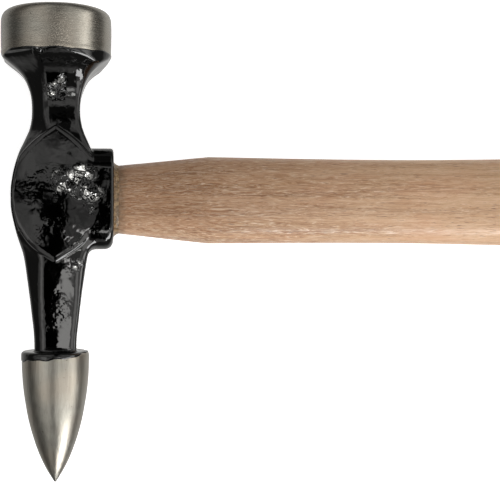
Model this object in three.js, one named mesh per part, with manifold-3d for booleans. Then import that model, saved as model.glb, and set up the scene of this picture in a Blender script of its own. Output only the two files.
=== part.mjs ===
// Blacksmith hammer: forged head with a round face and a pointed peen, on a wedged hickory handle.
// Millimetres. While it is drawn, the origin is where the eye crosses the head: X along the handle
// towards the butt, Y along the head towards the striking face, Z out of the upper cheek. The group
// then moves it so that the origin is under the middle of the lying hammer.

import * as THREE from 'three';
import { mergeVertices } from 'three/addons/utils/BufferGeometryUtils.js';
import Module from 'manifold-3d';

const wasm = await Module();
wasm.setup();

// Head
const FACE_RADIUS = 20;
const FACE_Y = 68.4;
const FACE_EDGE = 4;
const FACE_SIDE_END_Y = 52.2;
const NECK_HALF = 8.6;
const PEEN_NECK_HALF = 7.6;
const PEEN_SHOULDER_Y = -55.2;
const PEEN_RADIUS = 12.2;
const PEEN_TIP_Y = -102.4;
const PEEN_TIP_RADIUS = 0.6;
const CHEEK_HALF = 15.8;
const CHEEK_THICK = 28;
const CHEEK_BEVEL = 1;
const CHEEK_POINT_TOP = 24.6;
const CHEEK_POINT_LOW = -21.5;

// Collar on the handle side of the eye
const COLLAR_X = 20.5;
const COLLAR_HALF = 18.15;
const COLLAR_THICK = 26;
const COLLAR_CORNER = 9;
const COLLAR_BEVEL = 1;

// Eye, oval, narrowest inside
const EYE_MOUTH_HALF = 12.7;
const EYE_WAIST_HALF = 11.4;
const EYE_FAR_HALF = 13.4;
const EYE_WAIST_X = 5;

// Handle: half-widths along Y, thickness follows from OVAL_RATIO
const OVAL_RATIO = 0.74;
const OVAL_POWER = 2.4;
const THROAT_HALF = 12.45;
const THROAT_X = 23;
const BELLY_HALF = 15.9;
const BELLY_X = 55.4;
const WAIST_HALF = 15.6;
const WAIST_X = 108;
const GRIP_HALF = 18;
const GRIP_X = 238;
const BUTT_HALF = 16;
const BUTT_X = 300;
const BUTT_EDGE = 2.5;

// Wedges and resin
const GAP = 0.3;
const WOOD_WEDGE = { thick: 4, tip: 1, depth: 22 };
const STEEL_WEDGE = { thick: 2.6, tip: 0.8, depth: 13, width: 12, offset: 5.5 };
const KERF_END_SPACE = 1;
const TENON_LAP = 0.5;
const BEAD_OUTER = 14;
const BEAD_LENGTH = 2.4;

const ROUND = 48;
const FAR = 60;

const lacquer = new THREE.MeshStandardMaterial({ color: 0x0b0b0b, roughness: 0.15, metalness: 0 });
const groundSteel = new THREE.MeshStandardMaterial({ color: 0x9a978e, roughness: 0.35, metalness: 1 });
const hickory = new THREE.MeshStandardMaterial({ color: 0xc79f7d, roughness: 0.55, metalness: 0 });
const wedgeWood = new THREE.MeshStandardMaterial({ color: 0xb98c63, roughness: 0.6, metalness: 0 });
const resin = new THREE.MeshStandardMaterial({ color: 0x6e5a3c, roughness: 0.3, metalness: 0 });

const point = (x, y) => new THREE.Vector2(x, y);

// A closed three.js geometry as a manifold solid.
function solid(geometry) {
  const bare = geometry.clone();
  bare.deleteAttribute('normal');
  bare.deleteAttribute('uv');
  const merged = mergeVertices(bare, 1e-4);
  return new wasm.Manifold(new wasm.Mesh({
    numProp: 3,
    vertProperties: new Float32Array(merged.attributes.position.array),
    triVerts: new Uint32Array(merged.index.array),
  }));
}

// A manifold solid as a named three.js mesh.
function piece(name, body, material) {
  const { numProp, vertProperties, triVerts } = body.getMesh();
  if (numProp !== 3) throw new Error(`${name} carries more than positions`);
  const geometry = new THREE.BufferGeometry();
  geometry.setAttribute('position', new THREE.BufferAttribute(vertProperties, 3));
  geometry.setIndex(new THREE.BufferAttribute(triVerts, 1));
  geometry.computeVertexNormals();
  const mesh = new THREE.Mesh(geometry, material);
  mesh.name = name;
  return mesh;
}

// An outline in the XY plane, extruded evenly about Z = 0.
function slab(outline, thick, bevel = 0) {
  const geometry = new THREE.ExtrudeGeometry(outline, {
    depth: thick - 2 * bevel,
    bevelEnabled: bevel > 0,
    bevelSize: bevel,
    bevelThickness: bevel,
    bevelOffset: -bevel,
    bevelSegments: 2,
    curveSegments: 16,
  });
  geometry.translate(0, 0, bevel - thick / 2);
  return geometry;
}

// A closed shape, symmetric about X = 0, from the points of its right-hand side.
function mirrored(side) {
  const left = side.map((p) => point(-p.x, p.y)).reverse();
  return new THREE.Shape([...side, ...left]);
}

// Smooth half-width outline of the forging between the two ends, against Y.
function neckSide(eyeHalf) {
  const flare = [
    point(FACE_RADIUS, FACE_SIDE_END_Y + 1), point(19.6, 51.6), point(17.1, 48.9), point(12.3, 44.6),
    point(10, 40.2), point(8.9, 36), point(NECK_HALF, 32.6), point(9.1, 27.2),
  ];
  const round = [[22, 0.28], [16.5, 0.72], [10, 0.93], [2, 1], [-6, 0.93], [-13, 0.72], [-20, 0.42]]
    .map(([y, share]) => point(NECK_HALF + share * (eyeHalf - NECK_HALF), y));
  const taper = [
    point(10.2, -29.5), point(8.9, -39), point(PEEN_NECK_HALF + 0.1, -47),
    point(PEEN_NECK_HALF, -51), point(PEEN_NECK_HALF, PEEN_SHOULDER_Y - 2),
  ];
  return new THREE.SplineCurve([...flare, ...round, ...taper]).getPoints(38);
}

// The octagonal necks and the eye block, cut square-on, side-on and across the corners, and turned
// down to the round of the face.
function forgedBody() {
  const front = solid(slab(mirrored(neckSide(CHEEK_HALF)), FAR));
  const side = solid(slab(mirrored(neckSide(CHEEK_THICK / 2 - 1.4)), FAR).rotateY(Math.PI / 2));
  const corners = [-1, 1].map((turn) => {
    const outline = mirrored(neckSide(CHEEK_HALF + 2).map((p) => point(1.13 * p.x, p.y)));
    return solid(slab(outline, FAR).rotateY(turn * Math.PI / 4));
  });
  const turned = solid(new THREE.CylinderGeometry(FACE_RADIUS - 0.2, FACE_RADIUS - 0.2, 4 * FAR, ROUND));
  return front.intersect(side).intersect(corners[0]).intersect(corners[1]).intersect(turned);
}

// Round face block, from the striking face to where the flare begins.
function faceBlock() {
  const edge = [[0.56, 0.07], [0.25, 0.25], [0.06, 0.56]]
    .map(([inward, back]) => point(FACE_RADIUS - inward * FACE_EDGE, FACE_Y - back * FACE_EDGE));
  const profile = [
    point(0, FACE_Y), point(FACE_RADIUS - FACE_EDGE, FACE_Y), ...edge,
    point(FACE_RADIUS, FACE_Y - FACE_EDGE), point(FACE_RADIUS, FACE_SIDE_END_Y + 3),
    point(FACE_RADIUS - 0.2, FACE_SIDE_END_Y), point(0, FACE_SIDE_END_Y - 1),
  ];
  return solid(new THREE.LatheGeometry(profile.reverse(), ROUND));
}

// Pointed peen: a sharp shoulder, then an ogive that runs out to a blunt tip.
function peen() {
  const length = PEEN_TIP_Y - PEEN_SHOULDER_Y + 2.5;
  const ogive = Array.from({ length: 17 }, (unused, i) => {
    const t = i / 16;
    return point(PEEN_RADIUS * Math.pow(1 - Math.pow(t, 2.05), 0.9), PEEN_SHOULDER_Y - 2.5 + t * length);
  }).filter((p) => p.x > PEEN_TIP_RADIUS);
  const profile = [
    point(0, PEEN_SHOULDER_Y + 3), point(PEEN_NECK_HALF - 0.4, PEEN_SHOULDER_Y + 3),
    point(PEEN_NECK_HALF + 0.4, PEEN_SHOULDER_Y + 1.2), point(PEEN_RADIUS - 1, PEEN_SHOULDER_Y),
    ...ogive, point(PEEN_TIP_RADIUS, PEEN_TIP_Y + 0.2), point(0, PEEN_TIP_Y),
  ];
  return solid(new THREE.LatheGeometry(profile.reverse(), ROUND));
}

// Flat cheeks on both sides of the eye, round with a point towards each neck.
function cheeks() {
  const right = new THREE.SplineCurve([
    point(0, CHEEK_POINT_TOP), point(5.3, 21), point(10, 16.6), point(14.2, 10.5),
    point(CHEEK_HALF, 1), point(14.6, -5.5), point(12.2, -10.2), point(5.6, -17.8),
    point(0, CHEEK_POINT_LOW),
  ]).getPoints(28).slice(1, -1);
  const left = right.map((p) => point(-p.x, p.y)).reverse();
  const outline = [point(0, CHEEK_POINT_TOP), ...right, point(0, CHEEK_POINT_LOW), ...left];
  return solid(slab(new THREE.Shape(outline), CHEEK_THICK, CHEEK_BEVEL));
}

// Collar around the mouth of the eye, a rounded block along X.
function collar() {
  const y = COLLAR_HALF;
  const z = COLLAR_THICK / 2;
  const c = COLLAR_CORNER;
  const outline = new THREE.Shape();
  outline.moveTo(z - c, -y);
  outline.absarc(z - c, c - y, c, -Math.PI / 2, 0);
  outline.absarc(z - c, y - c, c, 0, Math.PI / 2);
  outline.absarc(c - z, y - c, c, Math.PI / 2, Math.PI);
  outline.absarc(c - z, c - y, c, Math.PI, 1.5 * Math.PI);
  const geometry = slab(outline, COLLAR_X, COLLAR_BEVEL);
  geometry.rotateY(Math.PI / 2);
  geometry.translate(COLLAR_X / 2, 0, 0);
  return solid(geometry);
}

// A lathe along X whose round section becomes a flattened oval: profile points are (half-width, x).
function ovalSolid(profile) {
  const geometry = new THREE.LatheGeometry(profile, ROUND);
  geometry.rotateZ(-Math.PI / 2);
  const positions = geometry.attributes.position;
  for (let i = 0; i < positions.count; i += 1) {
    const y = positions.getY(i);
    const z = positions.getZ(i);
    const radius = Math.hypot(y, z);
    if (radius > 1e-6) {
      const bulge = Math.pow(
        Math.pow(Math.abs(y) / radius, OVAL_POWER) + Math.pow(Math.abs(z) / radius, OVAL_POWER),
        -1 / OVAL_POWER,
      );
      positions.setY(i, y * bulge);
      positions.setZ(i, z * bulge * OVAL_RATIO);
    }
  }
  return solid(geometry);
}

// Half-width of the eye, grown or shrunk by a clearance, as an oval solid that runs out past the
// far side of the head.
function eyeSolid(clearance) {
  const farX = -FAR / 2;
  const profile = new THREE.SplineCurve([
    point(EYE_FAR_HALF + clearance, -CHEEK_HALF - 1), point(EYE_WAIST_HALF + clearance, EYE_WAIST_X),
    point(EYE_MOUTH_HALF + clearance, COLLAR_X),
  ]).getPoints(8);
  return ovalSolid([
    point(0, farX), point(profile[0].x, farX), ...profile,
    point(EYE_MOUTH_HALF + clearance, COLLAR_X + 2), point(0, COLLAR_X + 2),
  ]);
}

function hammerHead() {
  const outside = forgedBody().add(faceBlock()).add(peen()).add(cheeks()).add(collar());
  return outside.subtract(eyeSolid(0));
}

// Everything in the eye is ground off flush, just inside the curve of the far side of the head.
function flushTrim() {
  return solid(slab(mirrored(neckSide(CHEEK_HALF - GAP)), FAR));
}

// The outside of the wood from collar to butt, and the tenon inside the eye.
function handleBlank() {
  const grip = new THREE.SplineCurve([
    point(BELLY_HALF, BELLY_X), point(15.72, 80), point(WAIST_HALF, WAIST_X), point(15.7, 133),
    point(16.2, 161), point(17.2, 200), point(GRIP_HALF, GRIP_X), point(17.3, 272),
    point(BUTT_HALF, BUTT_X - BUTT_EDGE),
  ]).getPoints(24);
  const profile = [
    point(0, COLLAR_X), point(THROAT_HALF - 0.15, COLLAR_X), point(THROAT_HALF, THROAT_X), ...grip,
    point(BUTT_HALF - 0.3 * BUTT_EDGE, BUTT_X - 0.3 * BUTT_EDGE), point(BUTT_HALF - BUTT_EDGE, BUTT_X),
    point(0, BUTT_X),
  ];
  return ovalSolid(profile);
}

// The tenon fills the eye, runs a little way into the throat of the handle, and is flush at its end.
function tenon() {
  const long = COLLAR_X + TENON_LAP;
  const reach = solid(new THREE.BoxGeometry(long, FAR, FAR).translate(long / 2, 0, 0));
  return eyeSolid(-GAP).intersect(flushTrim().add(reach));
}

// A wedge outline that tapers along X from the far side of the eye, grown by a clearance.
function wedgeOutline({ thick, tip, depth }, clearance) {
  const start = -FAR / 2;
  const end = -CHEEK_HALF + depth + clearance;
  const wide = thick / 2 + clearance;
  const narrow = tip / 2 + clearance;
  return new THREE.Shape([
    point(start, -wide), point(-CHEEK_HALF, -wide), point(end, -narrow), point(end, narrow),
    point(-CHEEK_HALF, wide), point(start, wide),
  ]);
}

// The wooden wedge lies in the plane Z = 0; its kerf is a little longer and thicker.
function woodWedgeBody(clearance, space = 0) {
  const size = { ...WOOD_WEDGE, depth: WOOD_WEDGE.depth + space };
  return solid(slab(wedgeOutline(size, clearance), FAR).rotateX(Math.PI / 2));
}

function steelWedgeBody(clearance, side) {
  const geometry = slab(wedgeOutline(STEEL_WEDGE, clearance), STEEL_WEDGE.width + 2 * clearance);
  geometry.translate(0, side * STEEL_WEDGE.offset, 0);
  return solid(geometry);
}

function steelWedge(side) {
  return steelWedgeBody(0, side).intersect(flushTrim());
}

function woodenWedge() {
  return woodWedgeBody(0).intersect(eyeSolid(-GAP)).intersect(flushTrim())
    .subtract(steelWedgeBody(GAP, 1)).subtract(steelWedgeBody(GAP, -1));
}

function handle() {
  return handleBlank().add(tenon()).subtract(woodWedgeBody(GAP, KERF_END_SPACE))
    .subtract(steelWedgeBody(GAP, 1)).subtract(steelWedgeBody(GAP, -1));
}

// Ring of resin in the corner between the collar's face and the wood.
function resinBead() {
  const start = COLLAR_X + GAP;
  const end = start + BEAD_LENGTH;
  const inner = THROAT_HALF + GAP + 0.05;
  return ovalSolid([
    point(inner, start), point(BEAD_OUTER, start), point(inner + 0.6, start + 0.4 * BEAD_LENGTH),
    point(inner + 0.25, end), point(inner, end), point(inner, start),
  ]);
}

const hammer = new THREE.Group();
hammer.add(
  piece('hammer_head', hammerHead(), lacquer),
  piece('handle', handle(), hickory),
  piece('wooden_wedge', woodenWedge(), wedgeWood),
  piece('steel_wedge_face_side', steelWedge(1), groundSteel),
  piece('steel_wedge_peen_side', steelWedge(-1), groundSteel),
  piece('resin_bead', resinBead(), resin),
);
hammer.position.set(-(BUTT_X - FACE_RADIUS) / 2, -(FACE_Y + PEEN_TIP_Y) / 2, FACE_RADIUS);

export default hammer;
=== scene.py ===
"""Blacksmith hammer, lying flat: a lacquered forging with ground ends, on a wedged hickory handle.

Shapes are worked out in millimetres in the head frame: X along the handle from the head's axis,
Y along the head from the handle's axis towards the striking face, Z up out of the upper cheek.
"""

import math

import bmesh
import bpy
import numpy as np
from mathutils import Matrix, Vector

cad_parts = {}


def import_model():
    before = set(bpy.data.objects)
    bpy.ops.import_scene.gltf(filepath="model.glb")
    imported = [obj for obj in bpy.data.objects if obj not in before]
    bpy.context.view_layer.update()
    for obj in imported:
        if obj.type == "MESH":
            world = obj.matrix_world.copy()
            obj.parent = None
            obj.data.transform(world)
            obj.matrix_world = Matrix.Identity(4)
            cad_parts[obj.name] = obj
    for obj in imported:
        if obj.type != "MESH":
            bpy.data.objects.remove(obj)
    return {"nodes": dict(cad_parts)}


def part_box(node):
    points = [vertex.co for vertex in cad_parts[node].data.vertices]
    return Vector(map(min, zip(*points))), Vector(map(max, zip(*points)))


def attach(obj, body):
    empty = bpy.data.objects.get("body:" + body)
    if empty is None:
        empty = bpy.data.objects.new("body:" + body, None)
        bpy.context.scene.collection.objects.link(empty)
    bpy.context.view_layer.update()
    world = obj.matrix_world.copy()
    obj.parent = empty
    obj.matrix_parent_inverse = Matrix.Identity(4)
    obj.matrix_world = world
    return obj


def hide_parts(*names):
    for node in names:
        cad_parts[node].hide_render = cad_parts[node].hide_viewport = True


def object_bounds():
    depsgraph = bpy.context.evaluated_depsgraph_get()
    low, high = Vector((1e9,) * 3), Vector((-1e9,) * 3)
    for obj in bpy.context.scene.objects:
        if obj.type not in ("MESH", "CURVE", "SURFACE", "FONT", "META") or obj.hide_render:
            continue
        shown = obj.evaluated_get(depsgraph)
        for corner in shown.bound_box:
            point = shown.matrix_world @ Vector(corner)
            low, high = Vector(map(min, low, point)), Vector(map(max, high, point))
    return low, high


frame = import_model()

cad_low, cad_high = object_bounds()

# Sizes in mm, from the frame where the frame has them. HALF is half of a width, measured from the
# middle; ROOT is how far a piece reaches into the body, out of sight.
MM = 0.001
head_low, head_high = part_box("hammer_head")
handle_low, handle_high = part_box("handle")
FACE_RADIUS = (head_high.z - head_low.z) / 2 / MM
FACE_Y = 68.4
FACE_BACK = 51.5
FACE_ROOT = 47.5
TIP_Y = FACE_Y - (head_high.y - head_low.y) / MM
PEEN_SHOULDER = -55.1
PEEN_ROOT = -51.0
ORIGIN = Vector((
    head_low.x + FACE_RADIUS * MM,
    head_high.y - FACE_Y * MM,
    (head_low.z + head_high.z) / 2,
))
NECK_ENDS = (-57.5, 53.0)
COAT = 0.2
COAT_ENDS = (-61.0, 58.0)
PAINTED_TO = (-57.1, 52.2)
CHEEK_Z = 14.0
CHEEK_HALF = 15.8
CHEEK_DOME = 80.0
CHEEK_BEVEL = 1.2
FACET_CROWN = 60.0
COLLAR_X = (head_high.x - ORIGIN.x) / MM
COLLAR_ROOT = 3.0
COLLAR_WIDE_HALF = 18.15
COLLAR_THICK_HALF = 13.0
COLLAR_CORNER = 7.5
OVAL_RATIO = 0.74
OVAL_POWER = 2.4
TENON_END_HALF = 13.1
TENON_FAR_X = -16.5
TENON_NEAR_X = 23.0
BUTT_X = (handle_high.x - ORIGIN.x) / MM
BUTT_HALF = 16.0
BUTT_EASE = 2.5
WEDGE_GAP = 0.2
FLOOR_GAP = 0.5
GRID_STEP = 0.42


def world(point):
    """A head-frame point in mm as a world point in metres."""
    return ORIGIN + Vector(point) * MM


# ---------------------------------------------------------------- curves and noise


def curve(points):
    """A smooth function through (position, value) points, flat beyond the ends."""
    places, values = (np.array(column, float) for column in zip(*sorted(points)))
    slopes = np.gradient(values, places)

    def at(place):
        place = np.asarray(place, float)
        index = np.clip(np.searchsorted(places, place) - 1, 0, len(places) - 2)
        span = places[index + 1] - places[index]
        t = np.clip((place - places[index]) / span, 0, 1)
        low, high = values[index], values[index + 1]
        rise_low, rise_high = slopes[index] * span, slopes[index + 1] * span
        return (
            low * (1 + 2 * t) * (1 - t) ** 2
            + rise_low * t * (1 - t) ** 2
            + high * t * t * (3 - 2 * t)
            + rise_high * t * t * (t - 1)
        )

    return at


def smooth_max(a, b, k):
    """The larger of two fields, rounded over a width k where they meet."""
    h = np.clip(0.5 + 0.5 * (a - b) / k, 0, 1)
    return b + (a - b) * h + k * h * (1 - h)


def smooth_min(a, b, k):
    return -smooth_max(-a, -b, k)


def smooth_step(low, high, value):
    t = np.clip((value - low) / (high - low), 0, 1)
    return t * t * (3 - 2 * t)


def value_noise(points, size, seed):
    """Smooth noise from -1 to 1 at an (n, 3) array of points, with lumps about size across."""
    side = 32
    table = np.random.default_rng(seed).uniform(-1, 1, (side, side, side))
    places = points / size
    base = np.floor(places).astype(int)
    t = places - base
    t = t * t * t * (t * (6 * t - 15) + 10)
    total = np.zeros(len(points))
    for corner in range(8):
        step = np.array([corner & 1, corner >> 1 & 1, corner >> 2 & 1])
        share = np.prod(np.where(step, t, 1 - t), axis=1)
        cell = (base + step) % side
        total += share * table[cell[:, 0], cell[:, 1], cell[:, 2]]
    return total


# ---------------------------------------------------------------- the forging as a field

FLARE = [(36, 8.7), (40.2, 9.8), (44.6, 12.1), (46.8, 14.3), (48.9, 16.9), (50.6, 18.8), (53, 19.9)]
half_width = curve([
    (-58, 7.4), (-51, 7.4), (-42.5, 8.2), (-29.5, 9.8), (-20.8, 11.2), (-12, 13.7), (-3.3, 15.5),
    (1, 15.7), (7.5, 15.0), (16.3, 12.8), (20.6, 11.0), (25, 9.3), (29.3, 8.5), (32.6, 8.4), *FLARE,
])
half_thick = curve([
    (-58, 6.3), (-51, 7.4), (-42.5, 8.8), (-34, 10.2), (-28, 11.2), (-24, 11.8), (-19, 12.1),
    (-12, 12.2), (12, 12.2), (19.5, 11.8), (23.5, 11.0), (26.5, 10.0), (29.5, 9.2), (32.6, 8.7), *FLARE,
])
chamfer_left = curve([
    (-58, 2.9), (-50, 2.9), (-36, 3.8), (-30, 4.6), (-25, 5.4), (-21, 6.0), (-17.5, 4.6), (-12, 1.8),
    (-7, 0.8), (5, 0.8), (10, 1.1), (16, 2.8), (20.5, 5.0), (24, 6.3), (30, 4.9), (36, 5.0),
    (43.8, 7.1), (48, 10), (51, 13),
])
chamfer_right = curve([
    (-58, 0.9), (-36, 1.3), (-25, 2.2), (-10, 1.5), (20, 1.2), (28, 1.0), (38, 1.2), (46, 3.0), (51, 2.6),
])
cheek_half = curve([
    (-24, -5.2), (-20.9, 0), (-17.6, 5.4), (-10.4, 11.8), (-5.5, 14.3), (1, CHEEK_HALF), (10, 14.0),
    (16, 9.7), (20.4, 5.0), (24, 0), (27.4, -5),
])
peen_radius = curve([
    (-102.4, 0.25), (-100.3, 1.6), (-97.7, 3.15), (-93.2, 5.35), (-88.8, 7.05), (-84.2, 8.5),
    (-79.8, 9.65), (-75.2, 10.55), (-70.9, 11.25), (-66.5, 11.75), (-62.1, 12.05), (-57.8, 12.15),
    (-54, 12.15),
])
eye_half = curve([(-18, 13.5), (5, 11.4), (20.5, 12.7), (24, 12.9)])


def oval(y, z):
    """How far out a point is on the handle's and eye's oval section, in mm of half-width."""
    return (np.abs(y) ** OVAL_POWER + (np.abs(z) / OVAL_RATIO) ** OVAL_POWER) ** (1 / OVAL_POWER)


def neck_field(x, y, z):
    """The whole body from peen to face: flat sides with chamfers, wider ones on the left."""
    wide, thick = half_width(y), half_thick(y)
    corner = np.where(x < 0, chamfer_left(y), chamfer_right(y))
    crown = x**2 / (2 * FACET_CROWN)
    flats = smooth_max(np.abs(x) - wide, np.abs(z) - thick + crown, 0.7)
    chamfers = (np.abs(x) + np.abs(z) - (wide + thick - corner)) / math.sqrt(2)
    ends = np.maximum(NECK_ENDS[0] - y, y - NECK_ENDS[1])
    return np.maximum(smooth_max(flats, chamfers, 1.1), ends)


def cheek_field(x, y, z):
    """A flat disc through the eye, pointed towards each neck, with a narrow bevel round its rim."""
    steep = (cheek_half(y + 0.05) - cheek_half(y - 0.05)) / 0.1
    rim = (np.abs(x) - cheek_half(y)) / np.sqrt(1 + steep**2)
    flat = np.abs(z) - (CHEEK_Z - COAT) + (x**2 + 0.35 * y**2) / (2 * CHEEK_DOME)
    bevel = (0.35 * rim + flat) / 1.06
    side = smooth_max(rim - CHEEK_BEVEL, np.abs(x) - half_width(y) + 0.9, 0.4)
    return smooth_max(smooth_max(flat, bevel, 0.12), side, 0.3)


def collar_field(x, y, z):
    """The short tube of rounded section that holds the handle; its edge is softer towards the peen."""
    across = np.abs(y) - (COLLAR_WIDE_HALF - COAT - COLLAR_CORNER)
    up = np.abs(z) - (COLLAR_THICK_HALF - COAT - COLLAR_CORNER)
    outside = np.hypot(np.maximum(across, 0), np.maximum(up, 0))
    ring = outside + np.minimum(np.maximum(across, up), 0) - COLLAR_CORNER
    edge = 1.1 + 2.4 * smooth_step(-8, -16, y)
    return np.maximum(smooth_max(ring, x - (COLLAR_X - COAT), edge), COLLAR_ROOT - x)


def face_field(x, y, z):
    """A slightly barrelled cylinder with a crowned end and a rounded edge."""
    around = np.hypot(x, z) - FACE_RADIUS
    barrel = around + 0.0028 * (y - 60.5) ** 2
    crown = 0.4 * (x**2 + z**2) / FACE_RADIUS**2
    return smooth_max(smooth_max(barrel, y - FACE_Y + crown, 4.0), FACE_BACK - y, 1.0)


def peen_field(x, y, z):
    """A round point with curved sides and a square shoulder."""
    around = (np.hypot(x, z) - peen_radius(y)) * 0.85
    return np.maximum(smooth_max(around, y - PEEN_SHOULDER, 1.3), TIP_Y - y)


def steel_field(x, y, z):
    """Negative inside the bare forging."""
    body = smooth_max(neck_field(x, y, z), np.hypot(x, z) - (FACE_RADIUS - 0.1), 0.8)
    body = smooth_min(body, cheek_field(x, y, z), 0.5)
    body = smooth_min(body, collar_field(x, y, z), 0.6 + 2.2 * smooth_step(-13, -17, y))
    body = smooth_min(body, face_field(x, y, z), 0.6)
    body = smooth_min(body, peen_field(x, y, z), 0.9)
    return smooth_max(body, (eye_half(x) - oval(y, z)) * 0.8, 0.5)


def bare_distance(x, y, z):
    """How far past the coat's ragged edge a point is: positive on the two ground ends."""
    turn = np.arctan2(z, x)
    ragged = 0.3 * np.sin(3 * turn + 1) + 0.2 * np.sin(7 * turn + 4) + 0.15 * np.sin(13 * turn)
    left = np.exp(-(((np.abs(turn) - math.pi) / 0.35) ** 2))
    peen_line = PAINTED_TO[0] + 1.5 * np.cos(turn) + ragged
    face_line = PAINTED_TO[1] + 0.8 * ragged - 1.6 * left
    return np.maximum(y - face_line, peen_line - y)


def lacquer_field(x, y, z):
    """The coated forging: COAT proud of the steel where painted, sunk inside it where bare."""
    coat = COAT - 3 * COAT * smooth_step(-0.5, 0.5, bare_distance(x, y, z))
    ends = np.maximum(COAT_ENDS[0] - y, y - COAT_ENDS[1])
    return np.maximum(steel_field(x, y, z) - coat, ends)


def face_steel_field(x, y, z):
    return np.maximum(steel_field(x, y, z), FACE_ROOT - y)


def peen_steel_field(x, y, z):
    return np.maximum(steel_field(x, y, z), y - PEEN_ROOT)


# ---------------------------------------------------------------- meshing


def net(field, low, high, step):
    """Vertices and quads of the surface where a field is zero, one vertex for each cell it crosses."""
    axes = [np.arange(a, b + step, step) for a, b in zip(low, high)]
    x, y, z = np.meshgrid(*axes, indexing="ij", sparse=True)
    values = field(x, y, z).astype(np.float32)
    inside = values < 0
    cells = tuple(n - 1 for n in values.shape)
    corners = [(i, j, k) for i in (0, 1) for j in (0, 1) for k in (0, 1)]

    def shifted(array, corner):
        return array[tuple(slice(c, c + n) for c, n in zip(corner, cells))]

    count = sum(shifted(inside, corner).astype(np.int8) for corner in corners)
    crossed = np.argwhere((count > 0) & (count < 8))
    number = np.full(cells, -1, np.int64)
    number[tuple(crossed.T)] = np.arange(len(crossed))

    def corner_value(corner):
        return values[tuple((crossed + corner).T)]

    total = np.zeros((len(crossed), 3))
    crossings = np.zeros(len(crossed))
    for first in corners:
        for axis in range(3):
            if first[axis]:
                continue
            second = tuple(1 if a == axis else c for a, c in enumerate(first))
            a, b = corner_value(first), corner_value(second)
            cut = (a < 0) != (b < 0)
            t = np.where(cut, a / np.where(cut, a - b, 1), 0)
            place = np.tile(np.array(first, float), (len(crossed), 1))
            place[:, axis] += t
            total += place * cut[:, None]
            crossings += cut
    points = np.array([a[0] for a in axes]) + (crossed + total / crossings[:, None]) * step
    return points, net_quads(inside, number)


def net_quads(inside, number):
    """A quad round each grid edge whose ends lie on different sides of the surface."""
    quads = []
    for axis in range(3):
        u, v = (axis + 1) % 3, (axis + 2) % 3
        start = [slice(1, -1)] * 3
        start[axis] = slice(0, -1)
        end = list(start)
        end[axis] = slice(1, None)
        a, b = inside[tuple(start)], inside[tuple(end)]
        for flip in (False, True):
            edges = np.argwhere(a & ~b if not flip else ~a & b)
            edges += [0 if n == axis else 1 for n in range(3)]
            ring = []
            for du, dv in ((-1, -1), (0, -1), (0, 0), (-1, 0)):
                cell = edges.copy()
                cell[:, u] += du
                cell[:, v] += dv
                ring.append(number[tuple(cell.T)])
            quads.append(np.stack(ring[::-1] if flip else ring, axis=1))
    return np.concatenate(quads)


def field_slope(field, points):
    """The field's rate of change along x, y and z at each point."""
    reach = 0.05
    slope = np.empty_like(points)
    for axis in range(3):
        step = np.zeros(3)
        step[axis] = reach
        ahead, behind = points + step, points - step
        slope[:, axis] = (field(*ahead.T) - field(*behind.T)) / (2 * reach)
    return slope


def pull_to_surface(field, points, limit):
    """Newton steps that put each vertex exactly on the zero surface."""
    start = points.copy()
    for _ in range(3):
        slope = field_slope(field, points)
        size = np.maximum((slope**2).sum(axis=1), 0.05)
        points = points - slope * (field(*points.T) / size)[:, None]
        points = start + np.clip(points - start, -limit, limit)
    return points


def even_out(points, quads, share=0.5):
    """Moves each vertex part of the way to the middle of its quads, which evens their sizes."""
    middle = points[quads].mean(axis=1)
    total = np.zeros_like(points)
    count = np.zeros(len(points))
    for side in range(4):
        np.add.at(total, quads[:, side], middle)
        np.add.at(count, quads[:, side], 1)
    return points + share * (total / count[:, None] - points)


def make_object(name, points, faces, smooth=True):
    """A mesh object from head-frame points in mm."""
    mesh = bpy.data.meshes.new(name)
    places = np.asarray(points) * MM + np.array(ORIGIN)
    mesh.from_pydata(places.tolist(), [], faces)
    mesh.validate()
    mesh.polygons.foreach_set("use_smooth", [smooth] * len(mesh.polygons))
    mesh.update()
    made = bpy.data.objects.new(name, mesh)
    bpy.context.scene.collection.objects.link(made)
    return made


def field_object(name, field, low, high, lumps):
    """A mesh of a field's surface, moved out by a relief in mm."""
    points, quads = net(field, low, high, GRID_STEP)
    for _ in range(2):
        points = even_out(points, quads)
        points = pull_to_surface(field, points, GRID_STEP)
    slope = field_slope(field, points)
    normal = slope / np.linalg.norm(slope, axis=1)[:, None]
    points = points + normal * lumps(points)[:, None]
    return make_object(name, points, quads.tolist())


def lacquer_lumps(points):
    """Runs and lumps of thick dipped lacquer, rougher in patches."""
    rough = smooth_step(-0.1, 0.5, value_noise(points, 8, 5))
    coarse = 0.06 * value_noise(points, 6.5, 1)
    medium = 0.035 * value_noise(points, 2.8, 2)
    return coarse + (0.25 + 0.75 * rough) * medium


def ground_waves(points):
    """The hand-ground ends are very slightly uneven."""
    return 0.02 * value_noise(points, 6, 7) + 0.006 * value_noise(points, 2, 8) - 0.026


# ---------------------------------------------------------------- node helpers


def new_material(name, finish):
    """A material with one Principled shader whose constant inputs are set on its own sockets."""
    material = bpy.data.materials.new(name)
    material.use_nodes = True
    shader = material.node_tree.nodes["Principled BSDF"]
    for socket, value in finish.items():
        shader.inputs[socket].default_value = value
    return material, shader


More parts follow.
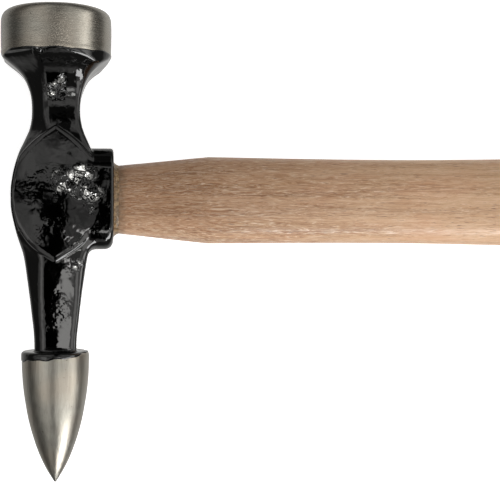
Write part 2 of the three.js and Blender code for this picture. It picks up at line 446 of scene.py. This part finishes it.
class Nodes:
    """Short forms for the nodes that the materials use."""

    # A Mix node has sockets for every type of value: these are the factor, the two colours and the result
    MIX_INPUTS = (0, 6, 7)
    MIX_OUTPUT = 2

    def __init__(self, material):
        self.tree = material.node_tree
        self.coordinates = self.new("ShaderNodeTexCoord").outputs

    def new(self, kind, **settings):
        node = self.tree.nodes.new(kind)
        for key, value in settings.items():
            setattr(node, key, value)
        return node

    def link(self, source, target):
        self.tree.links.new(source, target)

    def place(self, scale=(1, 1, 1), offset=(0, 0, 0)):
        """Object coordinates in mm from the head frame's origin, stretched by scale."""
        node = self.new("ShaderNodeMapping", vector_type="POINT")
        factor = Vector(scale) / MM
        node.inputs["Scale"].default_value = factor
        shift = Vector(-o * f for o, f in zip(ORIGIN, factor))
        node.inputs["Location"].default_value = shift + Vector(offset)
        self.link(self.coordinates["Object"], node.inputs["Vector"])
        return node.outputs["Vector"]

    def noise(self, vector, size, detail=2.0, roughness=0.5, distortion=0.0):
        node = self.new("ShaderNodeTexNoise")
        node.inputs["Scale"].default_value = 1 / size
        node.inputs["Detail"].default_value = detail
        node.inputs["Roughness"].default_value = roughness
        node.inputs["Distortion"].default_value = distortion
        self.link(vector, node.inputs["Vector"])
        return node.outputs["Fac"]

    def vector(self, operation, a, b):
        node = self.new("ShaderNodeVectorMath", operation=operation)
        for socket, value in zip(node.inputs, (a, b)):
            if isinstance(value, tuple):
                socket.default_value = value
            else:
                self.link(value, socket)
        return node.outputs["Value" if operation in ("DOT_PRODUCT", "DISTANCE") else "Vector"]

    def bent(self, vector, size, amount):
        """A vector pushed about at random, so that a pattern laid on it is not straight."""
        wander = self.new("ShaderNodeTexNoise")
        wander.inputs["Scale"].default_value = 1 / size
        self.link(vector, wander.inputs["Vector"])
        shift = self.vector("SUBTRACT", wander.outputs["Color"], (0.5, 0.5, 0.5))
        return self.vector("ADD", vector, self.vector("MULTIPLY", shift, (amount,) * 3))

    def flakes(self, vector, size, bend):
        """A skin broken into patches about size across, each tilted its own way, with ridged seams.

        Gives its height, a number from 0 to 1 for each patch, and a mask that is 1 on the seams.
        """
        bent = self.bent(vector, size, bend)
        cells = self.new("ShaderNodeTexVoronoi")
        cells.inputs["Scale"].default_value = 1 / size
        self.link(bent, cells.inputs["Vector"])
        tilt = self.vector("SUBTRACT", cells.outputs["Color"], (0.5, 0.5, 0.5))
        from_middle = self.vector("SUBTRACT", bent, cells.outputs["Position"])
        height = self.vector("DOT_PRODUCT", from_middle, tilt)
        seams = self.new("ShaderNodeTexVoronoi", feature="DISTANCE_TO_EDGE")
        seams.inputs["Scale"].default_value = 1 / size
        self.link(bent, seams.inputs["Vector"])
        seam = self.remap(seams.outputs["Distance"], 0.0, 0.14, 1.0, 0.0)
        height = self.math("ADD", height, self.math("MULTIPLY", seam, 0.5))
        parts = self.new("ShaderNodeSeparateXYZ")
        self.link(cells.outputs["Color"], parts.inputs["Vector"])
        return height, parts.outputs["Z"], seam

    def remap(self, value, low, high, to_low=0.0, to_high=1.0):
        node = self.new("ShaderNodeMapRange")
        for key, number in zip(("From Min", "From Max", "To Min", "To Max"), (low, high, to_low, to_high)):
            node.inputs[key].default_value = number
        self.link(value, node.inputs["Value"])
        return node.outputs["Result"]

    def math(self, operation, a, b):
        node = self.new("ShaderNodeMath", operation=operation)
        for socket, value in zip(node.inputs, (a, b)):
            if isinstance(value, (int, float)):
                socket.default_value = value
            else:
                self.link(value, socket)
        return node.outputs["Value"]

    def ramp(self, value, stops):
        node = self.new("ShaderNodeValToRGB")
        ramp = node.color_ramp
        while len(ramp.elements) < len(stops):
            ramp.elements.new(0.5)
        for element, (place, colour) in zip(ramp.elements, stops):
            element.position = place
            element.color = (*colour, 1)
        self.link(value, node.inputs["Fac"])
        return node.outputs["Color"]

    def mix(self, share, a, b):
        node = self.new("ShaderNodeMix", data_type="RGBA")
        sockets = [node.inputs[number] for number in self.MIX_INPUTS]
        for socket, value in zip(sockets, (share, a, b)):
            if isinstance(value, (int, float)):
                socket.default_value = value
            elif isinstance(value, tuple):
                socket.default_value = (*value, 1)
            else:
                self.link(value, socket)
        return node.outputs[self.MIX_OUTPUT]

    def bump(self, height, distance, normal=None):
        """Relief of a depth in mm, on top of the relief that normal already has."""
        node = self.new("ShaderNodeBump")
        node.inputs["Strength"].default_value = 1.0
        node.inputs["Distance"].default_value = distance * MM
        self.link(height, node.inputs["Height"])
        if normal is not None:
            self.link(normal, node.inputs["Normal"])
        return node.outputs["Normal"]


def finish_with(nodes, shader, colour, roughness=None, normal=None):
    for socket, source in (("Base Color", colour), ("Roughness", roughness), ("Normal", normal)):
        if source is not None:
            nodes.link(source, shader.inputs[socket])


# ---------------------------------------------------------------- materials


# Where the lacquer skinned over and wrinkled: centre and reach in mm
WRINKLES = [
    ((2, 6, 14), 4), ((8, 5.5, 13), 5.2), ((13, 1, 13), 3), ((12.5, -4, 13), 1.6), ((-13, -13, 13), 2),
    ((0, 38.5, 9), 2.6), ((2.5, 41, 12), 1.6), ((-6, 51, 18), 1.5), ((8, -24, 11), 1),
]


def lacquer_material():
    """Thick black gloss lacquer, dipped over a rough forging."""
    material, shader = new_material("black_lacquer", {"IOR": 1.6})
    n = Nodes(material)
    where = n.place()
    patch = n.noise(where, 7, 2)
    colour = n.ramp(patch, [(0.3, (0.0001, 0.0001, 0.0001)), (0.7, (0.0005, 0.0005, 0.0004))])
    roughness = n.remap(n.noise(where, 6, 3), 0.35, 0.7, 0.03, 0.09)
    wrinkled = n.remap(patch, 0.65, 0.74, 0.0, 0.6)
    for centre, reach in WRINKLES:
        ragged = n.math("ADD", n.vector("DISTANCE", where, centre), n.math("MULTIPLY", patch, 8.0))
        wrinkled = n.math("MAXIMUM", wrinkled, n.remap(ragged, reach + 2.5, reach + 5, 1.0, 0.0))
    height, pick, seam = n.flakes(where, 2.7, 2.2)
    rippled = n.remap(n.noise(n.place(offset=(40, 0, 0)), 9, 1), 0.5, 0.62)
    normal = n.bump(n.noise(where, 4.0, 1, 0.5, 0.5), 0.08)
    normal = n.bump(n.math("MULTIPLY", n.noise(where, 1.5, 1), rippled), 0.09, normal)
    normal = n.bump(n.math("MULTIPLY", height, wrinkled), 0.42, normal)
    bright = n.math("MULTIPLY", n.remap(pick, 0.44, 0.46), n.remap(seam, 0.2, 0.4, 1.0, 0.0))
    skin = n.math("MULTIPLY", n.remap(wrinkled, 0.4, 0.9), bright)
    colour = n.mix(skin, colour, (0.66, 0.66, 0.64))
    n.link(skin, shader.inputs["Metallic"])
    finish_with(n, shader, colour, roughness, normal)
    return material


def steel_material(name, stretch, streak_size, smoothest, roughest):
    """Warm grey ground steel with fine marks drawn out along the grinding direction."""
    material, shader = new_material(name, {"Metallic": 1.0})
    n = Nodes(material)
    where = n.place()
    along = n.place(stretch)
    streaks = n.noise(along, streak_size, 4, 0.65)
    fine = n.noise(along, streak_size * 0.35, 3, 0.6)
    cloud = n.noise(where, 7, 3)
    colour = n.ramp(
        n.math("ADD", n.math("MULTIPLY", streaks, 0.6), n.math("MULTIPLY", cloud, 0.4)),
        [(0.3, (0.28, 0.268, 0.236)), (0.5, (0.38, 0.365, 0.322)), (0.72, (0.48, 0.463, 0.415))],
    )
    colour = n.mix(n.remap(n.noise(where, 14, 1), 0.42, 0.62, 0.0, 0.7), colour, (0.38, 0.335, 0.28))
    pits = n.remap(n.noise(where, 0.8, 2, 0.6), 0.70, 0.76)
    colour = n.mix(n.math("MULTIPLY", pits, 0.75), colour, (0.07, 0.06, 0.05))
    worn = n.math("ADD", streaks, n.math("MULTIPLY", pits, 0.5))
    roughness = n.remap(worn, 0.3, 0.9, smoothest, roughest)
    normal = n.bump(streaks, 0.07)
    normal = n.bump(fine, 0.04, normal)
    normal = n.bump(n.math("SUBTRACT", 1.0, pits), 0.05, normal)
    finish_with(n, shader, colour, roughness, normal)
    return material


def wood_material():
    """Pale pinkish hickory: long grain, short dark pores, and a thin clear varnish."""
    material, shader = new_material("hickory", {
        "Metallic": 0.0, "IOR": 1.45, "Coat Roughness": 0.25,
    })
    n = Nodes(material)
    where = n.place()
    split = n.new("ShaderNodeSeparateXYZ")
    n.link(where, split.inputs["Vector"])
    along, across = split.outputs["X"], split.outputs["Y"]

    # Broad bands of colour, some of them redder
    bands = n.noise(n.place((0.012, 0.30, 0.22)), 1.0, 3, 0.55, 0.6)
    red = n.noise(n.place((0.035, 0.13, 0.13)), 1.0, 2)
    colour = n.ramp(bands, [
        (0.28, (0.43, 0.245, 0.125)), (0.5, (0.56, 0.335, 0.185)), (0.72, (0.67, 0.425, 0.26)),
    ])
    colour = n.mix(n.remap(red, 0.48, 0.66, 0.0, 0.4), colour, (0.56, 0.28, 0.15))

    # Pale fibres, wavy grain that is denser near the head, and short pores
    fibre = n.noise(n.place((0.05, 1.0, 1.0)), 0.6, 4, 0.7, 0.3)
    grain = n.noise(n.bent(n.place((0.10, 1.0, 1.0), (7, 0, 0)), 1.5, 3.0), 0.40, 3, 0.65)
    dense = n.math("MULTIPLY", n.remap(bands, 0.35, 0.6, 1.0, 0.5), n.remap(along, 50, 140, 1.0, 0.35))
    dark_grain = n.math("MULTIPLY", n.remap(grain, 0.51, 0.58, 0.0, 0.95), dense)
    pale_grain = n.math("MULTIPLY", n.remap(grain, 0.44, 0.36, 0.0, 0.9), dense)
    pores = n.remap(n.noise(n.place((0.11, 1.0, 1.0), (3, 0, 0)), 0.42, 2, 0.5), 0.64, 0.72)
    colour = n.mix(n.remap(fibre, 0.42, 0.72, 0.0, 0.6), colour, (0.80, 0.58, 0.40))
    colour = n.mix(dark_grain, colour, (0.25, 0.10, 0.045))
    colour = n.mix(pale_grain, colour, (0.98, 0.80, 0.62))
    colour = n.mix(n.math("MULTIPLY", pores, 0.7), colour, (0.16, 0.075, 0.04))

    # Darker towards the head, and painted shade that darkens the +Y side away from the light on the -Y
    # side; resin soaked in at the collar
    # painted shade: the mask darkens the wood more on the +Y side and towards the head
    head_dark_and_painted_shade = n.math("MULTIPLY", n.remap(along, 40, 135, 0.54, 0.0), n.remap(across, -14, -4, 0.35, 1.0))
    colour = n.mix(head_dark_and_painted_shade, colour, (0.25, 0.118, 0.052))
    ragged = n.math("ADD", along, n.math("MULTIPLY", n.noise(where, 1.5, 3), 6.0))
    colour = n.mix(n.remap(ragged, 24.5, 28.5, 0.8, 0.0), colour, (0.15, 0.09, 0.045))

    roughness = n.remap(fibre, 0.3, 0.7, 0.42, 0.60)
    n.link(n.remap(grain, 0.40, 0.56, 1.0, 0.1), shader.inputs["Coat Weight"])
    normal = n.bump(fibre, 0.10)
    normal = n.bump(n.math("MULTIPLY", grain, dense), -0.5, normal)
    normal = n.bump(n.math("SUBTRACT", 1.0, pores), 0.05, normal)
    finish_with(n, shader, colour, roughness, normal)
    return material


def end_grain_material(name, dark, light, ring_axis):
    """Raw end grain, ground flush: growth rings, rays and open pores."""
    material, shader = new_material(name, {"Metallic": 0.0, "IOR": 1.45})
    n = Nodes(material)
    rings = n.noise(n.place(ring_axis), 1.0, 3, 0.5, 0.8)
    dots = n.remap(n.noise(n.place(), 0.35, 2), 0.60, 0.70)
    colour = n.ramp(rings, [(0.3, dark), (0.7, light)])
    colour = n.mix(n.math("MULTIPLY", dots, 0.6), colour, tuple(0.35 * c for c in dark))
    normal = n.bump(rings, 0.03)
    finish_with(n, shader, colour, n.remap(rings, 0.3, 0.7, 0.55, 0.75), normal)
    return material


def resin_material():
    """Cloudy olive-brown resin, part glossy."""
    material, shader = new_material("resin", {
        "Metallic": 0.0, "IOR": 1.5, "Subsurface Weight": 0.15,
    })
    shader.inputs["Subsurface Radius"].default_value = (0.001, 0.0006, 0.0003)
    n = Nodes(material)
    where = n.place()
    cloud = n.noise(where, 1.6, 4, 0.6)
    colour = n.ramp(cloud, [
        (0.3, (0.05, 0.029, 0.012)), (0.5, (0.16, 0.098, 0.044)), (0.7, (0.34, 0.225, 0.115)),
    ])
    roughness = n.remap(n.noise(where, 0.9, 2), 0.35, 0.65, 0.12, 0.45)
    normal = n.bump(n.noise(where, 0.8, 3, 0.6), 0.22)
    finish_with(n, shader, colour, roughness, normal)
    return material


def paper_material(name, glow):
    """White studio paper that glows a little, so that it stays white in the shade."""
    material, shader = new_material(name, {
        "Roughness": 0.9, "Specular IOR Level": 0.1,
        "Emission Color": (1, 1, 1, 1), "Emission Strength": glow,
    })
    n = Nodes(material)
    tone = n.noise(n.place(), 60, 2)
    finish_with(n, shader, n.ramp(tone, [(0.3, (0.85, 0.85, 0.85)), (0.7, (0.88, 0.88, 0.88))]))
    return material


# ---------------------------------------------------------------- pieces

LACQUER = lacquer_material()
FACE_STEEL = steel_material("ground_steel_round", (0.08, 1.0, 0.08), 0.4, 0.20, 0.36)
PEEN_STEEL = steel_material("ground_steel_long", (1.0, 0.10, 1.0), 0.9, 0.28, 0.42)
HICKORY = wood_material()
WEDGE_WOOD = end_grain_material("wedge_wood", (0.16, 0.085, 0.04), (0.34, 0.21, 0.11), (0.1, 1.4, 0.5))
RESIN = resin_material()


def dress(piece, material, node):
    """Gives a new piece its material and its body, and hides the CAD node it stands for."""
    piece.data.materials.append(material)
    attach(piece, "root")
    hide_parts(node)


def make_head():
    """Three closed skins, each meshed in a box in mm that is a little larger than it."""
    body = field_object(
        "lacquered_forging", lacquer_field, (-21.5, -61.6, -21.5), (22.2, 58.6, 21.5), lacquer_lumps
    )
    face = field_object(
        "ground_face", face_steel_field, (-21.2, 47, -21.2), (21.2, FACE_Y + 0.9, 21.2), ground_waves
    )
    peen = field_object(
        "ground_peen", peen_steel_field, (-13.6, TIP_Y - 0.9, -13.6), (13.6, -50.5, 13.6), ground_waves
    )
    dress(body, LACQUER, "hammer_head")
    dress(face, FACE_STEEL, "hammer_head")
    dress(peen, PEEN_STEEL, "hammer_head")


handle_half = curve([
    (TENON_NEAR_X, 12.45), (23.8, 12.53), (54.4, 15.8), (55.4, 15.9), (56.6, 15.9), (80, 15.72),
    (108, 15.6), (133, 15.7), (161, 16.2), (200, 17.2), (238, 18), (272, 17.3),
    (BUTT_X - BUTT_EASE, BUTT_HALF),
])
tenon_half = curve([(-17.2, TENON_END_HALF), (5, 11.1), (20.5, 12.3), (TENON_NEAR_X, 12.45)])


def tenon_end(y):
    """Where the tenon is ground flush, just inside the curve of the far side of the head."""
    return -(half_width(y) - 0.15)


def oval_ring(half, around):
    """Points (y, z) round the handle's oval section."""
    turn = np.linspace(0, 2 * math.pi, around, endpoint=False)
    c, s = np.cos(turn), np.sin(turn)
    bulge = (np.abs(c) ** OVAL_POWER + np.abs(s) ** OVAL_POWER) ** (-1 / OVAL_POWER)
    return half * c * bulge, half * s * bulge * OVAL_RATIO


def flat_ring(x, half, around):
    """A ring of points round the handle's section at x."""
    y, z = oval_ring(half, around)
    return np.stack([np.full(around, x), y, z], axis=1)


def ring_faces(rings, around):
    """Quads between neighbouring rings of a lofted tube."""
    faces = []
    for i in range(rings - 1):
        for j in range(around):
            k = (j + 1) % around
            faces.append((i * around + j, i * around + k, (i + 1) * around + k, (i + 1) * around + j))
    return faces


def move_out(points, distance):
    """Moves points straight away from the handle's axis, each by its own distance."""
    outward = points * np.array([0, 1, 1])
    outward = outward / np.maximum(np.linalg.norm(outward, axis=1), 1e-6)[:, None]
    return points + outward * distance[:, None]


def face_outwards(piece):
    work = bmesh.new()
    work.from_mesh(piece.data)
    bmesh.ops.recalc_face_normals(work, faces=work.faces)
    work.to_mesh(piece.data)
    work.free()


def handle_rings(around):
    """Rings from the middle of the tenon's end, along the handle, to the middle of the butt."""
    rings = []
    for share in np.linspace(0.04, 1, 9):
        y, z = oval_ring(TENON_END_HALF * share, around)
        rings.append(np.stack([tenon_end(y), y, z], axis=1))
    for t in np.linspace(0.03, 1, 24):
        nominal = TENON_FAR_X + t * (TENON_NEAR_X - TENON_FAR_X)
        y, z = oval_ring(float(tenon_half(nominal)), around)
        start = tenon_end(y)
        rings.append(np.stack([start + t * (TENON_NEAR_X - start), y, z], axis=1))
    ease_start = BUTT_X - BUTT_EASE
    for x in [*np.linspace(23.5, 53.5, 31), *np.linspace(54, 57, 13), *np.linspace(58, ease_start, 160)]:
        rings.append(flat_ring(x, float(handle_half(x)), around))
    for turn in np.linspace(0.15, 1, 7) * math.pi / 2:
        half = BUTT_HALF - BUTT_EASE * (1 - math.cos(turn))
        rings.append(flat_ring(ease_start + BUTT_EASE * math.sin(turn), half, around))
    for share in np.linspace(0.92, 0.04, 8):
        rings.append(flat_ring(BUTT_X, (BUTT_HALF - BUTT_EASE) * share, around))
    return rings


def lofted_handle():
    around = 160
    rings = handle_rings(around)
    last = (len(rings) - 1) * around
    faces = ring_faces(len(rings), around)
    faces.append(tuple(range(around))[::-1])
    faces.append(tuple(last + j for j in range(around)))
    points = np.concatenate(rings)
    fibres = 0.03 * value_noise(points * np.array([0.04, 1, 1]), 1.6, 11)
    swells = 0.05 * value_noise(points * np.array([0.12, 1, 1]), 7, 12)
    shaft = (points[:, 0] > TENON_NEAR_X + 1) & (points[:, 0] < BUTT_X - BUTT_EASE - 0.5)
    handle = make_object("handle_wood", move_out(points, (fibres + swells) * shaft), faces)
    face_outwards(handle)
    return handle


def wedge_cutter(name, thick, tip, depth, width, along_y, offset=0.0):
    """A tapered block that cuts the slot of a wedge, WEDGE_GAP larger than the wedge."""
    outside, mouth, bottom = -22.0, -CHEEK_HALF, depth + WEDGE_GAP - CHEEK_HALF
    wide, narrow = thick / 2 + WEDGE_GAP, tip / 2 + WEDGE_GAP
    outline = [
        (outside, -wide), (mouth, -wide), (bottom, -narrow),
        (bottom, narrow), (mouth, wide), (outside, wide),
    ]
    points = []
    for side in (-width / 2, width / 2):
        for x, t in outline:
            points.append((x, side, t) if along_y else (x, t + offset, side))
    count = len(outline)
    faces = [tuple(range(count)), tuple(range(2 * count - 1, count - 1, -1))]
    for i in range(count):
        k = (i + 1) % count
        faces.append((i, k, count + k, count + i))
    cutter = make_object(name, points, faces, smooth=False)
    face_outwards(cutter)
    return cutter


def cut(piece, cutters):
    """Cuts each cutter out of a piece and removes it."""
    for cutter in cutters:
        modifier = piece.modifiers.new("cut", "BOOLEAN")
        modifier.operation = "DIFFERENCE"
        modifier.solver = "EXACT"
        modifier.object = cutter
        depsgraph = bpy.context.evaluated_depsgraph_get()
        result = bpy.data.meshes.new_from_object(piece.evaluated_get(depsgraph))
        piece.modifiers.clear()
        piece.data = result
        bpy.data.objects.remove(cutter)


def make_handle():
    """The handle, its tenon cut for the wooden wedge and for the two steel ones across it."""
    wood = lofted_handle()
    cut(wood, [
        wedge_cutter("kerf", thick=4, tip=1, depth=23, width=60, along_y=True),
        wedge_cutter("slot_face", thick=2.6, tip=0.8, depth=13, width=12.4, along_y=False, offset=5.5),
        wedge_cutter("slot_peen", thick=2.6, tip=0.8, depth=13, width=12.4, along_y=False, offset=-5.5),
    ])
    dress(wood, HICKORY, "handle")


def make_bead():
    """Resin squeezed out round the wood at the collar: a small uneven fillet."""
    around = 240
    # The fillet's outline as x and half-width, from the collar out to the wood
    section = [
        (20.45, 12.35), (20.45, 13.3), (20.5, 14.0), (20.7, 13.9), (20.95, 13.5), (21.25, 13.15),
        (21.6, 12.88), (21.95, 12.7), (22.3, 12.58), (22.5, 12.48), (22.4, 12.3),
    ]
    points = np.concatenate([flat_ring(x, half, around) for x, half in section])
    last = (len(section) - 1) * around
    faces = ring_faces(len(section), around)
    for j in range(around):
        k = (j + 1) % around
        faces.append((last + j, last + k, k, j))
    lumps = 0.16 * value_noise(points, 2.4, 21) + 0.08 * value_noise(points, 1.0, 22)
    outer = smooth_step(12.6, 13.2, oval(points[:, 1], points[:, 2]))
    bead = make_object("resin_fillet", move_out(points, lumps * outer), faces)
    face_outwards(bead)
    dress(bead, RESIN, "resin_bead")


def finish_wedges():
    """The CAD wedges have the right shape, so they keep it and get a finish of their own."""
    for name, material in (
        ("wooden_wedge", WEDGE_WOOD),
        ("steel_wedge_face_side", FACE_STEEL),
        ("steel_wedge_peen_side", FACE_STEEL),
    ):
        for slot in frame["nodes"][name].material_slots:
            slot.material = material


# ---------------------------------------------------------------- stage


def paper_sheet(name, points, faces, glow):
    """A piece of the studio in white paper, at the height that the hammer lies on."""
    mesh = bpy.data.meshes.new(name)
    mesh.from_pydata(points, [], faces)
    mesh.materials.append(paper_material(name + "_paper", glow))
    sheet = bpy.data.objects.new(name, mesh)
    sheet.location.z = cad_low.z - FLOOR_GAP * MM
    bpy.context.scene.collection.objects.link(sheet)
    return sheet


def make_floor():
    """A flat sheet. It isn't mirrored in the steel and lacquer, which see the studio instead."""
    size = 3.0
    corners = [(-size, -size, 0), (size, -size, 0), (size, size, 0), (-size, size, 0)]
    floor = paper_sheet("floor", corners, [(0, 1, 2, 3)], 0.75)
    floor.visible_glossy = False


def make_backdrop():
    """A round wall behind the floor, seen from low down; it lights nothing and hides no light."""
    around, radius, height = 64, 2.6, 5.0
    turns = [2 * math.pi * i / around for i in range(around)]
    points = [(radius * math.cos(t), radius * math.sin(t), z) for z in (0, height) for t in turns]
    faces = [(i, (i + 1) % around, around + (i + 1) % around, around + i) for i in range(around)]
    backdrop = paper_sheet("backdrop", points, faces, 1.2)
    backdrop.visible_glossy = False
    backdrop.visible_diffuse = False
    backdrop.visible_shadow = False


def make_key_light():
    """A broad panel low down beyond the peen, which gives the varnished wood its soft shine."""
    data = bpy.data.lights.new("key", "AREA")
    data.shape = "RECTANGLE"
    data.size, data.size_y = 1.2, 0.7
    data.energy = 20.0
    key = bpy.data.objects.new("key", data)
    key.location = world((930, -1460, 650))
    target = world((100, 0, 0))
    key.rotation_euler = (target - key.location).to_track_quat("-Z", "Y").to_euler()
    bpy.context.scene.collection.objects.link(key)


# What the gloss mirrors, by direction: strength, range of x, range of y, softness of the edges.
# Screens take away that share of the studio's light, and lamps add to it.
SCREENS = [
    (1.0, (-0.14, 0.11), (-0.25, 0.06), 0.02),
    (1.0, (-0.01, 0.13), (0.0, 0.14), 0.02),
    (1.0, (-0.27, 0.05), (-1.2, -0.15), 0.02),
    (0.94, (-0.27, 0.33), (0.28, 0.62), 0.05),
    (0.94, (-0.04, 0.15), (0.50, 1.2), 0.03),
    (1.0, (-0.46, -0.06), (0.02, 0.12), 0.02),
    (0.5, (0.14, 0.40), (-0.30, 0.05), 0.03),
    (0.85, (-0.27, 0.30), (-0.92, -0.52), 0.03),
    (0.6, (-0.90, -0.33), (0.14, 0.30), 0.04),
    (0.7, (-1.2, -0.52), (-1.2, -0.45), 0.03),
]
LAMPS = [
    (1.5, (0.78, 0.94), (-0.1, 0.5), 0.04),
    (3.0, (0.81, 0.93), (-0.40, -0.1), 0.03),
    (0.8, (0.80, 0.93), (-0.70, -0.40), 0.04),
    (2.6, (0.03, 0.20), (-0.46, -0.30), 0.01),
    (6.0, (0.17, 0.29), (-0.24, -0.12), 0.01),
    (0.7, (-0.72, -0.47), (-0.42, 0.12), 0.03),
    (0.35, (-0.4, 0.45), (-1.05, -0.92), 0.02),
    (1.1, (0.32, 0.62), (-0.60, -0.28), 0.03),
]


def make_world():
    """A grey studio that is dark near the horizon, with screens and lamps that have ragged edges."""
    studio = bpy.data.worlds.new("studio")
    studio.use_nodes = True
    n = Nodes(studio)
    sky = n.bent(n.coordinates["Generated"], 0.08, 0.12)
    direction = n.new("ShaderNodeSeparateXYZ")
    n.link(sky, direction.inputs["Vector"])
    x, y, z = (direction.outputs[axis] for axis in "XYZ")

    def patch(strength, x_range, y_range, soft):
        """A soft-edged rectangle of sky above the hammer."""
        level = strength
        for value, (low, high) in ((x, x_range), (y, y_range)):
            level = n.math("MULTIPLY", n.remap(value, low - soft, low + soft), level)
            level = n.math("MULTIPLY", n.remap(value, high - soft, high + soft, 1.0, 0.0), level)
        return n.math("MULTIPLY", level, n.remap(z, 0.05, 0.2))

    clouds = n.remap(n.noise(sky, 0.15, 2), 0.35, 0.6, 0.7, 1.1)
    level = n.math("MULTIPLY", n.remap(z, 0.15, 0.5, 0.0, 0.80), clouds)
    for screen in SCREENS:
        level = n.math("MULTIPLY", level, n.math("SUBTRACT", 1.0, patch(*screen)))
    for lamp in LAMPS:
        level = n.math("ADD", level, patch(*lamp))
    below = n.math("MINIMUM", n.remap(z, -0.6, -0.3, 0.56, 0.08), n.remap(z, 0.1, 0.3, 0.5, 0.0))
    below = n.math("MULTIPLY", below, n.remap(x, -0.3, 0.3, 1.0, 1.3))
    background = n.tree.nodes["Background"]
    background.inputs["Color"].default_value = (1.0, 0.99, 0.965, 1)
    n.link(n.math("ADD", level, below), background.inputs["Strength"])
    bpy.context.scene.world = studio


def make_camera():
    """Above the head and looking down, turned a little towards the handle."""
    data = bpy.data.cameras.new("camera")
    data.sensor_width = 36
    data.lens = 78.62
    data.shift_x = 0.116
    camera = bpy.data.objects.new("camera", data)
    camera.location = world((5, -19, 399.4))
    yaw, pitch, roll = (math.radians(angle) for angle in (-6.39, 0.54, 0.09))
    turn = Matrix.Rotation(yaw, 3, "Y") @ Matrix.Rotation(pitch, 3, "X") @ Matrix.Rotation(roll, 3, "Z")
    camera.rotation_euler = turn.to_euler()
    bpy.context.scene.collection.objects.link(camera)
    bpy.context.scene.camera = camera


make_camera()
make_world()
make_floor()
make_backdrop()
make_key_light()
bpy.context.scene.view_settings.view_transform = "Standard"

make_head()
make_handle()
make_bead()
finish_wedges()
